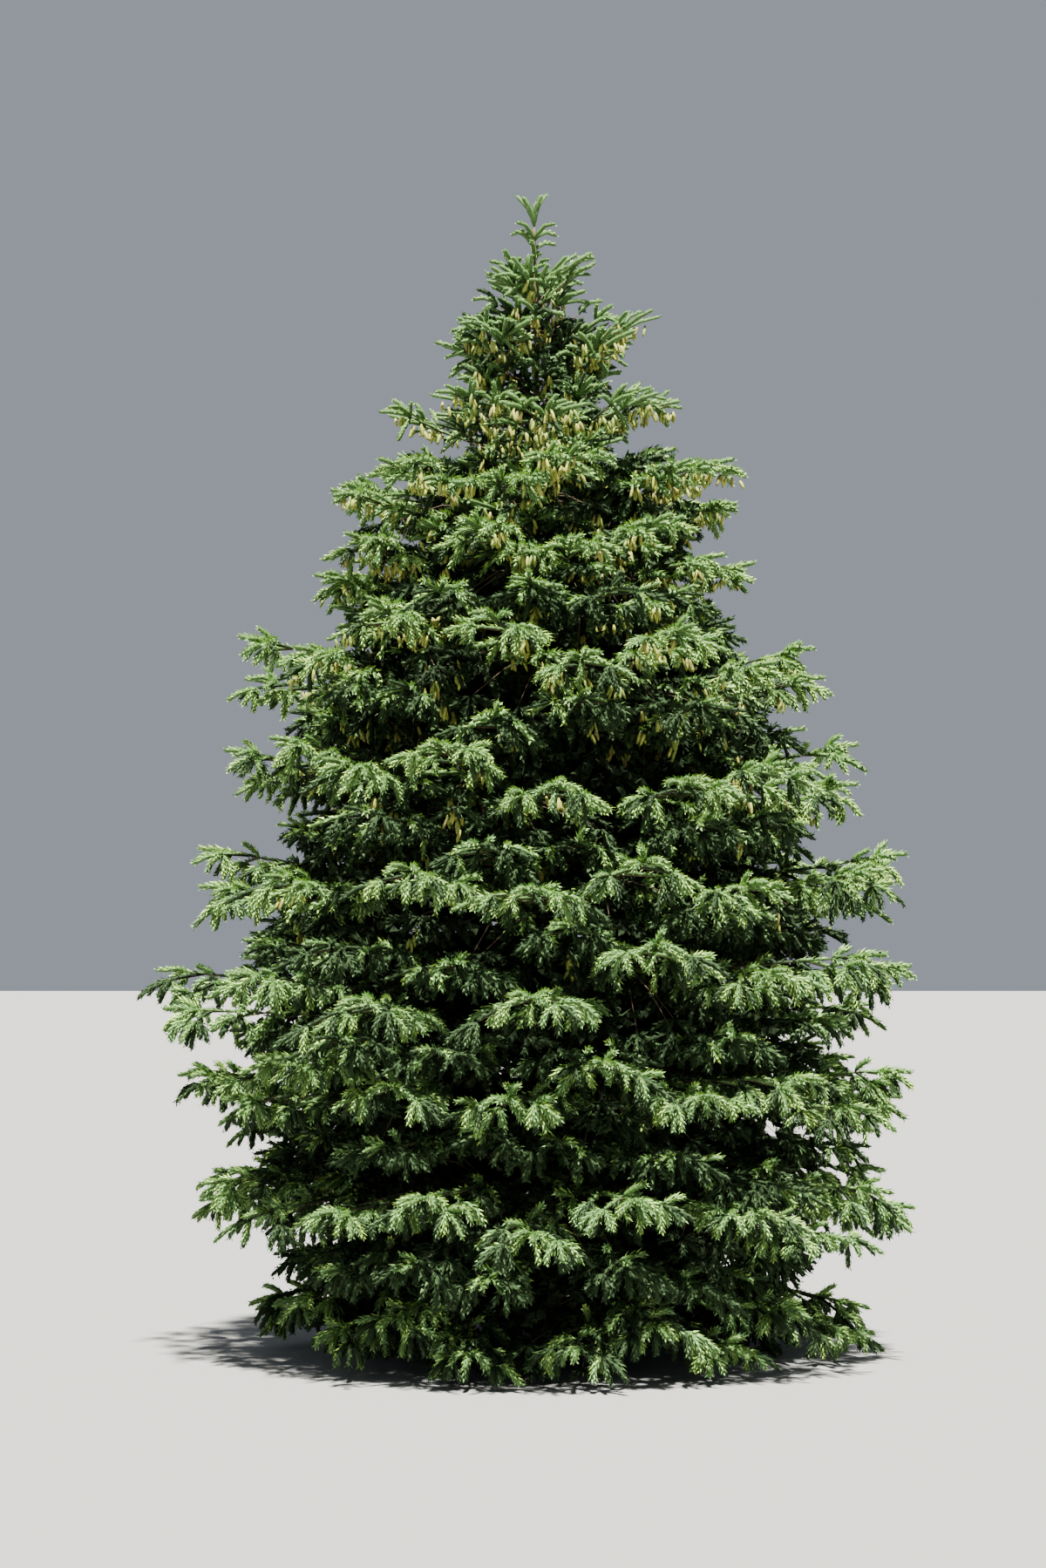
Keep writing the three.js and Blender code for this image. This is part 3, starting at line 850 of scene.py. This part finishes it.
def compass(heading):
    """The level direction with a heading."""
    return Vector((math.cos(heading), math.sin(heading), 0))


def turned(direction, angle, rise):
    """A direction turned round the upright by an angle, at a rise of its own."""
    flat = Vector((direction.x, direction.y, 0))
    if flat.length < 1e-3:
        flat = Vector((1, 0, 0))
    flat.normalize()
    flat.rotate(Matrix.Rotation(angle, 3, "Z"))
    return Vector((flat.x * math.cos(rise), flat.y * math.cos(rise), math.sin(rise)))


def droop_of(level):
    """How far the twigs of a tier hang, against those of the lowest ones. Near the top they rise."""
    return float(np.interp(level, (6, 8, 9, 11), (1.0, 0.4, 0.0, -0.3)))


# How a hand's shoots stand, with angles in degrees: its size, its rise against the twig's, the angles of its
# side shoots when it is full and when it has few, how far those rise or sink, how often it has a shoot over
# it and how steep that is, and how often it has one under it.
Hand = namedtuple("Hand", "size rise full few lean over over_rise under")
LOW_HAND = Hand(1, 1, (36, 72), (50,), lean=(-6, 12), over=0.4, over_rise=(20, 42), under=0.75)
TOP_HAND = Hand(1.12, 0.55, (36, 78), (60,), lean=(-20, 28), over=0.6, over_rise=(35, 60), under=0.4)


def hand(crown, level, node, direction, size, full):
    """The shoots that radiate from a node like fingers, beside the one that goes straight on. Near the top
    some are missing."""
    top = level > TOP_LEVEL
    kind = TOP_HAND if top else LOW_HAND
    missing = 0.45 if level == LAST_LEVEL else 0.15
    size *= kind.size
    rise = math.asin(clamp(direction.z, -1, 1)) * kind.rise
    for side in (-1, 1):
        for angle in kind.full if full else kind.few:
            if top and draw(0, 1) < missing:
                continue
            spread = side * math.radians(angle) * draw(0.85, 1.2)
            lean = rise - math.radians(angle) * draw(0.2, 0.6) * droop_of(level)
            lean += degrees(*kind.lean)
            length = size * draw(0.82, 1.05) * (1 - angle / 400)
            crown.shoot(level, node, turned(direction, spread, lean), length, draw(0.12, 0.21))
    if full and draw(0, 1) < kind.over:
        steep = degrees(*kind.over_rise)
        over = turned(direction, degrees(-50, 50), rise + steep)
        crown.shoot(level, node, over, size * 0.7, 0.1)
    if full and draw(0, 1) < kind.under:
        under = turned(direction, degrees(-60, 60), rise - degrees(35, 65))
        crown.shoot(level, node, under, size * 0.85, 0.05)


def side_twig(crown, arm, place, end):
    """A twig of a few years' growth, with pairs of shoots at its nodes and a hand at its last one."""
    level = arm.tier.level
    root = arm.point(place)
    span = end - root
    length = span.length
    years = max(1, round(length / YEAR))
    nodes = []
    for year in range(years + 1):
        share = year / years
        nodes.append(root + span * share + UP * (TWIG_ARCH * length * share * (1 - share)))
    if years > 1:
        radii = [TWIG_WOOD * (1 - TWIG_TAPER * year / years) for year in range(years)]
        TWIGS.add(nodes[:-1], radii, sides=3)
    for year in range(years):
        step = nodes[year + 1] - nodes[year]
        heading = step.normalized()
        last = year == years - 1
        crown.shoot(level, nodes[year], heading, step.length * 1.05, draw(0.04, 0.1), not last)
        if last or year > 0:
            hand(crown, level, nodes[year], heading, YEAR * draw(0.88, 1.02), last and level < LAST_LEVEL)
        if place < CONES_UP_TO and draw(0, 1) < CONE_SHARES.get(level, 0):
            cone_row(nodes[year], nodes[year].lerp(nodes[year + 1], 0.75))


def cone_row(start, end):
    """Cones that hang in a row from the underside of a twig."""
    for _ in range(int(rng.integers(*CONES_IN_ROW))):
        top = start.lerp(end, draw(0, 1))
        top += Vector((draw(-0.014, 0.014), draw(-0.014, 0.014), draw(-0.018, -0.004)))
        down = Vector((draw(-0.5, 0.5), draw(-0.5, 0.5), -1))
        lot = draw(0, 1)
        colour = 0 if lot < 0.5 else 1 if lot < 0.85 else 2
        CONES.add(top, down, draw(*CONE_LENGTH), draw(*CONE_RADIUS), colour)


def grow_arm(crown, arm):
    """The arm's wood, its side twigs on both hands, the shoots along it and the hand at its tip."""
    level = arm.tier.level
    crown.shaded = arm.shade > 0 and level < HIGH_LEVEL
    stations = max(1, round(arm.length * (1 - arm.bare) / STATION))
    step = (1 - arm.bare) / (stations + LAST_STATION)
    shares = np.linspace(0, 0.95, 7)
    TWIGS.add([arm.point(share) for share in shares], arm.wood * (1 - ARM_TAPER * shares), sides=5)
    for station in range(stations):
        share = arm.bare + station * step
        crown.roof = arm.point(share).z + arm.shade
        for side in (-1, 1):
            here = share + 0.3 * step * (side > 0)
            aside = UP.cross(arm.along(here)).normalized() * side
            grown = 1 + FINGER_SPREAD * chance(arm.seed, station, side)
            reach = max(arm.side_reach(here, step) * grown, TWIG_LEAST)
            lead = clamp(here + max(step * FINGER_LEAD, 0.5 * reach / arm.length), 0, FINGER_LAST)
            end = arm.point(lead) + aside * reach
            end.z -= SPRAY_DROOP * reach * draw(0.5, 1.2) * droop_of(level)
            side_twig(crown, arm, here, end)
        root, ahead = arm.point(share), arm.point(share + step)
        crown.shoot(level, root, (ahead - root).normalized(), (ahead - root).length * 1.03, 0.04, worn=True)
        if draw(0, 1) < 0.6:
            direction = turned(arm.along(share), degrees(-70, 70), degrees(12, 38))
            crown.shoot(level, root, direction, YEAR * draw(0.6, 0.85), 0.08)
        if share < CONES_UP_TO and draw(0, 1) < CONE_SHARES.get(level, 0):
            cone_row(root, ahead)
    node = arm.point(1 - min(0.6, YEAR / arm.length))
    crown.roof = node.z + arm.shade
    ahead = arm.point(1) - node
    crown.shoot(level, node, ahead.normalized(), ahead.length, 0.06)
    hand(crown, level, node, arm.along(0.97), YEAR * 0.98, full=True)


# The shaded sprays in the heart of the tiers, up to each level: their size, how far out they stand (the
# square of the share of the reach), how high over the tier, how many there are against the full number, and
# their colour, which is a painted shade.
Heart = namedtuple("Heart", "up_to size within highest many colour")
HEARTS = [
    Heart(6, size=0.175, within=0.44, highest=0.34, many=1, colour=PAINTED_INNER_SHADE),
    Heart(7, size=0.14, within=0.44, highest=0.34, many=1, colour=SHADE),
    Heart(8, size=0.14, within=0.26, highest=0.22, many=1, colour=SHADE),
    Heart(10, size=0.08, within=0.14, highest=0.12, many=0.6, colour=PAINTED_DEEP_SHADE),
]


class Shade:
    """Old twigs in the shade of one tier, each with a hanging spray of roughly made shoots, dark with painted
    shade.
    """

    def __init__(self, crown, tier):
        self.crown = crown
        self.tier = tier
        self.arms = [Arm(tier, index, place) for index in range(tier.masses) for place in range(ARM_COUNT)]

    def grow(self):
        self.grow_heart()
        if self.tier.level == 0:
            self.grow_low()
        if self.tier.level <= TOP_LEVEL:
            self.grow_under()

    def grow_heart(self):
        """Sprays between the trunk and the outer sprays."""
        tier = self.tier
        heart = next(heart for heart in HEARTS if tier.level <= heart.up_to)
        for _ in range(int(HEART_HANDS * tier.slimness ** 1.5 * heart.many)):
            heading = draw(0, 2 * math.pi)
            beside_trunk = draw(0, 1) < 0.25
            radius = tier.reach * (draw(0.03, 0.3) if beside_trunk else math.sqrt(draw(0.01, heart.within)))
            spot = tier_point(tier, heading, radius, draw(-0.06, heart.highest))
            depth = depth_in_crown(spot)
            if depth < HEART_EDGE:
                size = heart.size * (1.25 if depth < HEART else 1)
                self.spray(SHADED, heart.colour, spot, heading, radius, size, SHADED_GIRTH, degrees(-10, 45))

    def grow_low(self):
        """Sprays near the ground, round the trunk."""
        size = HEARTS[0].size * 1.1
        for _ in range(LOW_HANDS):
            heading = draw(0, 2 * math.pi)
            radius = draw(0.16, 0.8)
            spot = compass(heading) * radius + UP * draw(0.1, 0.4)
            self.spray(SHADED, PAINTED_INNER_SHADE, spot, heading, radius, size, SHADED_GIRTH, degrees(-10, 30))

    def grow_under(self):
        """Sprays that hang under the tier, dark with painted shade, some of them with cones."""
        tier = self.tier
        with_cones = tier.level >= CONED_LEVEL
        for _ in range(int(UNDER_HANDS * tier.slimness * (UNDER_CONES if with_cones else 1))):
            heading = draw(0, 2 * math.pi)
            radius = tier_reach(tier, heading) * math.sqrt(draw(0.2, 0.6))
            spot = tier_point(tier, heading, radius, draw(-0.22, -0.02))
            colour = PAINTED_DEEP_SHADE if draw(0, 1) < (0.6 if with_cones else 0.25) else SHADE
            self.spray(PLAIN, colour, spot, heading, radius, UNDER_SIZE, UNDER_GIRTH, degrees(5, 55))
            if draw(0, 1) < UNDER_CONES * CONE_SHARES.get(tier.level, 0):
                cone_row(spot, spot - UP * 0.08)

    def spray(self, build, colour, spot, heading, radius, size, girth, hang):
        """A few shoots from one spot, dark with painted shade, raised where it is too near the ground, and
        their twig.
        """
        spot.z = max(spot.z, SHADED_LOWEST)
        out = turned(compass(heading), degrees(-75, 75), 0)
        for angle in (-76, -36, 0, 36, 76):
            direction = turned(out, math.radians(angle) * draw(0.75, 1.25), -hang - degrees(-24, 24))
            tip = spot + direction * size * draw(0.75, 1.1)
            tip.z = max(tip.z, SHADED_TIP_LOWEST)
            self.crown.shoots.add(build, spot, tip, 0.01, size * girth * draw(0.88, 1.12), colour)
        self.bear(spot, heading, radius)

    def bear(self, spot, heading, radius):
        """The thin twig that bears a spray. It leaves the nearest arm, or the trunk where that is nearer."""
        arm = min(self.arms, key=lambda one: abs(math.remainder(one.turned - heading, 2 * math.pi)))
        share = (BEARING_FROM * radius - arm.start) / (arm.reach - arm.start)
        if share > 0:
            root = arm.point(min(share, BEARING_LAST))
        else:
            root = trunk_centre(spot.z + 0.1 * radius)
        middle = root.lerp(spot, 0.5) + UP * BEARING_ARCH * (spot - root).length
        TWIGS.add([root, middle, spot], BEARING_RADII, sides=3)


def grow_tier(crown, tier):
    for index in range(tier.masses):
        heading = mass_heading(tier, index)
        start = tier.reach * BOUGH_END if tier.has_boughs else trunk_radius(tier.trunk_z) * STEM_START
        stem = [tier_point(tier, heading, radius) for radius in np.linspace(start, tier.fork, 5)]
        thick = tier.stem_radius
        TWIGS.add(stem, np.linspace(thick, thick * STEM_TAPER, len(stem)), sides=8)
        for place in range(ARM_COUNT):
            grow_arm(crown, Arm(tier, index, place))
        if tier.level < LAST_LEVEL:
            for place in range(0, ARM_COUNT, 1 if tier.level <= TOP_LEVEL else 2):
                grow_arm(crown, LooseArm(tier, index, place))
    if tier.level < LAST_LEVEL:
        Shade(crown, tier).grow()
        if tier.level >= TOP_LEVEL:
            grow_beside_trunk(crown, tier)


def grow_beside_trunk(crown, tier):
    """Short twigs on the trunk itself, with hands and cones, in the open upper part of the crown."""
    for i in range(BESIDE_TRUNK):
        z = tier.trunk_z + (TIERS[tier.level + 1].trunk_z - tier.trunk_z) * (i + 0.5) / BESIDE_TRUNK
        flat = compass(math.radians(TWIG_TURN * i + 40 * tier.level))
        root = trunk_centre(z)
        out = draw(0.06, 0.3) if i % 2 else draw(0.3, 0.6)
        node = root + flat * out * tier.reach + UP * draw(-0.02, 0.09)
        TWIGS.add([root, root.lerp(node, 0.5), node], BESIDE_RADII, sides=4)
        direction = turned(flat, degrees(-20, 20), degrees(-10, 35))
        crown.roof = node.z
        hand(crown, tier.level, node, direction, BESIDE_SIZE, draw(0, 1) < 0.6)
        crown.shoot(tier.level, node, direction, BESIDE_SIZE, 0.1)
        cone_row(root.lerp(node, 0.6), node + direction * 0.06)


def grow_leader(crown):
    """The shoots round the leader and at its tip, and the short twigs below them."""
    crown.roof = 0.0
    for count, z, rise, length, heading in LEADER_RINGS:
        root = trunk_centre(z)
        key = round(z * 1000)
        longer, arch = (1.1, 0.1) if rise > 45 else (1.25, 0.2)
        for i in range(count):
            out = math.radians(heading + 360 * i / count + LEADER_WANDER * chance(key, i))
            lift = math.radians(rise + LEADER_LEAN * chance(key, i, 2))
            grown = length * (1 + LEADER_SPREAD * chance(key, i, 3))
            level_part = math.cos(lift)
            direction = Vector((math.cos(out) * level_part, math.sin(out) * level_part, math.sin(lift)))
            crown.shoot(LAST_LEVEL, root, direction, grown * longer, arch)
    for i in range(LEADER_TWIGS):
        z = LEADER_TWIGS_FROM + LEADER_TWIGS_APART * i
        root = trunk_centre(z)
        branched = z < LEADER_PAIRS_FROM
        for out in (20,) if branched else (20, 195):
            flat = compass(math.radians(TWIG_TURN * i + out))
            direction = turned(flat, 0, degrees(15, 35))
            node = root
            if branched:
                branch = LEADER_SLOPE * (LEADER_CONE - z)
                node = root + flat * branch + UP * branch * 0.6
                TWIGS.add([root, root.lerp(node, 0.5) - UP * 0.004, node], LEADER_RADII, sides=4)
                hand(crown, LAST_LEVEL, node, direction, BESIDE_SIZE, draw(0, 1) < 0.4)
            crown.shoot(LAST_LEVEL, node, direction, 0.125, 0.18)


# Trunk and boughs

def ringed_limb(name, sides, rings):
    """A closed upright limb of radius 1 and height 1, with its rings evenly spaced."""
    bpy.ops.object.select_all(action="DESELECT")
    bpy.ops.mesh.primitive_circle_add(vertices=sides, radius=1, fill_type="NGON")
    limb = bpy.context.object
    limb.name = name
    bpy.ops.object.mode_set(mode="EDIT")
    bpy.ops.mesh.select_all(action="SELECT")
    for _ in range(rings):
        bpy.ops.mesh.extrude_region_move(TRANSFORM_OT_translate={"value": (0, 0, 1 / rings)})
    bpy.ops.mesh.select_all(action="SELECT")
    bpy.ops.mesh.normals_make_consistent(inside=False)
    bpy.ops.object.mode_set(mode="OBJECT")
    return limb


def reshape(limb, place):
    """Move each vertex of a limb to what place makes of its two offsets and its share of the height."""
    for vertex in limb.data.vertices:
        vertex.co = place(vertex.co.x, vertex.co.y, vertex.co.z)
    limb.data.update()


def relief(limb, kind, scale, strength):
    """Raise and sink the bark along its normals, by a texture of that kind and scale."""
    texture = bpy.data.textures.new(f"{limb.name}_{kind.lower()}", kind)
    texture.noise_scale = scale
    modifier = limb.modifiers.new("relief", "DISPLACE")
    modifier.texture = texture
    modifier.texture_coords = "LOCAL"
    modifier.strength = strength
    modifier.mid_level = 0.5
    bpy.ops.object.select_all(action="DESELECT")
    limb.select_set(True)
    bpy.context.view_layer.objects.active = limb
    bpy.ops.object.modifier_apply(modifier=modifier.name)


def make_trunk():
    trunk = ringed_limb("trunk_bark_mesh", sides=40, rings=170)

    def place(x, y, share):
        z = TRUNK_TOP * share ** TRUNK_CROWDED
        heading = math.atan2(y, x)
        ribs = FLARE_EVEN + FLARE_RIBBED * math.cos(FLARE_RIBS * heading)
        flare = 1 + FLARE_RADIUS / TRUNK_FOOT_RADIUS * ribs * math.exp(-z / FLARE_HEIGHT)
        radius = (trunk_radius(z) - TRUNK_UNDER_BARK) * flare
        centre = trunk_centre(z)
        return (centre.x + x * radius, centre.y + y * radius, z)

    reshape(trunk, place)
    relief(trunk, "CLOUDS", scale=0.02, strength=0.0035)
    relief(trunk, "VORONOI", scale=0.013, strength=0.002)
    for vertex in trunk.data.vertices:
        vertex.co.z = max(vertex.co.z, 0.0)
    trunk.data.materials.append(TRUNK_BARK)
    bpy.ops.object.shade_smooth()
    return trunk


def make_bough(pattern, tier, index):
    bough = pattern.copy()
    bough.data = pattern.data.copy()
    bough.name = f"bark_bough_{tier.level + 1:02d}_{index + 1}"
    bpy.context.collection.objects.link(bough)
    heading = mass_heading(tier, index)
    end = tier.reach * BOUGH_END

    def place(x, y, share):
        centre = tier_point(tier, heading, end * share)
        before = tier_point(tier, heading, end * share - NEARBY)
        after = tier_point(tier, heading, end * share + NEARBY)
        ahead = (after - before).normalized()
        side = UP.cross(ahead).normalized()
        over = ahead.cross(side)
        collar = 1 + COLLAR * math.exp(-share * end / COLLAR_LENGTH)
        radius = (BOUGH_ROOT_RADIUS + (BOUGH_TIP_RADIUS - BOUGH_ROOT_RADIUS) * share) * collar
        return centre + side * x * radius + over * y * radius

    reshape(bough, place)
    relief(bough, "CLOUDS", scale=0.012, strength=0.003)
    bough.data.materials.append(BOUGH_BARK)
    bpy.ops.object.shade_smooth()
    return bough


trunk = make_trunk()
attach(trunk, "root")
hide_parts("trunk")

pattern = ringed_limb("bough_pattern", sides=14, rings=30)
for tier in TIERS[:BOUGH_TIERS]:
    for index in range(tier.masses):
        bough = make_bough(pattern, tier, index)
        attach(bough, "root")
        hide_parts(f"bough_{tier.level + 1:02d}_{index + 1}")
bpy.data.objects.remove(pattern)

# The foliage, in pieces of neighbouring tiers
TWIGS = Tubes()
CONES = Cones()
GROUPS = [[0], [1], [2], [3], [4], [5], [6], [7, 8], [9, 10, 11]]
for group in GROUPS:
    crown = Crown()
    replaced = []
    for level in group:
        tier = TIERS[level]
        grow_tier(crown, tier)
        replaced += [f"needles_{level + 1:02d}_{index + 1}" for index in range(tier.masses)]
    if LAST_LEVEL in group:
        grow_leader(crown)
        replaced.append("needles_top")
    needles = crown.shoots.piece(f"needles_tier_{group[0] + 1:02d}", SHOOT_FINISHES)
    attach(needles, "root")
    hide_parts(*replaced)
twigs = TWIGS.piece("twigs", TWIG_BARK)
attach(twigs, "root")
cones = CONES.piece("seed_cones", [CONE_TAN, CONE_GREEN, CONE_BROWN])
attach(cones, "root")

# The floor, the lights and the camera
floor_finish = Finish("studio_floor", {"Base Color": (0.22, 0.22, 0.215, 1), "Roughness": 0.9})
bpy.ops.object.select_all(action="DESELECT")
bpy.ops.mesh.primitive_plane_add(size=240)
floor = bpy.context.object
floor.name = "studio_floor"
floor.data.materials.append(floor_finish.material)

world = bpy.data.worlds.new("studio")
world.use_nodes = True
world.node_tree.nodes["Background"].inputs["Color"].default_value = (0.80, 0.88, 1.0, 1)
world.node_tree.nodes["Background"].inputs["Strength"].default_value = 0.38
bpy.context.scene.world = world

sun = bpy.data.lights.new("key", "SUN")
sun.energy = 28.0
sun.angle = math.radians(3)
sun.color = (1.0, 0.97, 0.90)
key = bpy.data.objects.new("key", sun)
key.rotation_euler = Vector((0.07, -0.62, 1.56)).to_track_quat("Z", "Y").to_euler()
bpy.context.collection.objects.link(key)

# The view of the photograph: its horizon and focal length in pixels of a frame 1799 pixels tall
FRAME_HEIGHT = 1799
FOCAL = 3667
HORIZON_BELOW_MIDDLE = 192
FOOT_RIGHT_OF_MIDDLE = 29
CAMERA_HEIGHT = 1.65
CAMERA_DISTANCE = 13.2
camera_data = bpy.data.cameras.new("camera")
camera_data.sensor_width = 36
camera_data.lens = 36 * FOCAL / FRAME_HEIGHT
camera = bpy.data.objects.new("camera", camera_data)
aside = -CAMERA_DISTANCE * FOOT_RIGHT_OF_MIDDLE / FOCAL
camera.location = (aside, -CAMERA_DISTANCE, CAMERA_HEIGHT)
camera.rotation_euler = (math.pi / 2 + math.atan(HORIZON_BELOW_MIDDLE / FOCAL), 0, 0)
bpy.context.collection.objects.link(camera)
bpy.context.scene.camera = camera
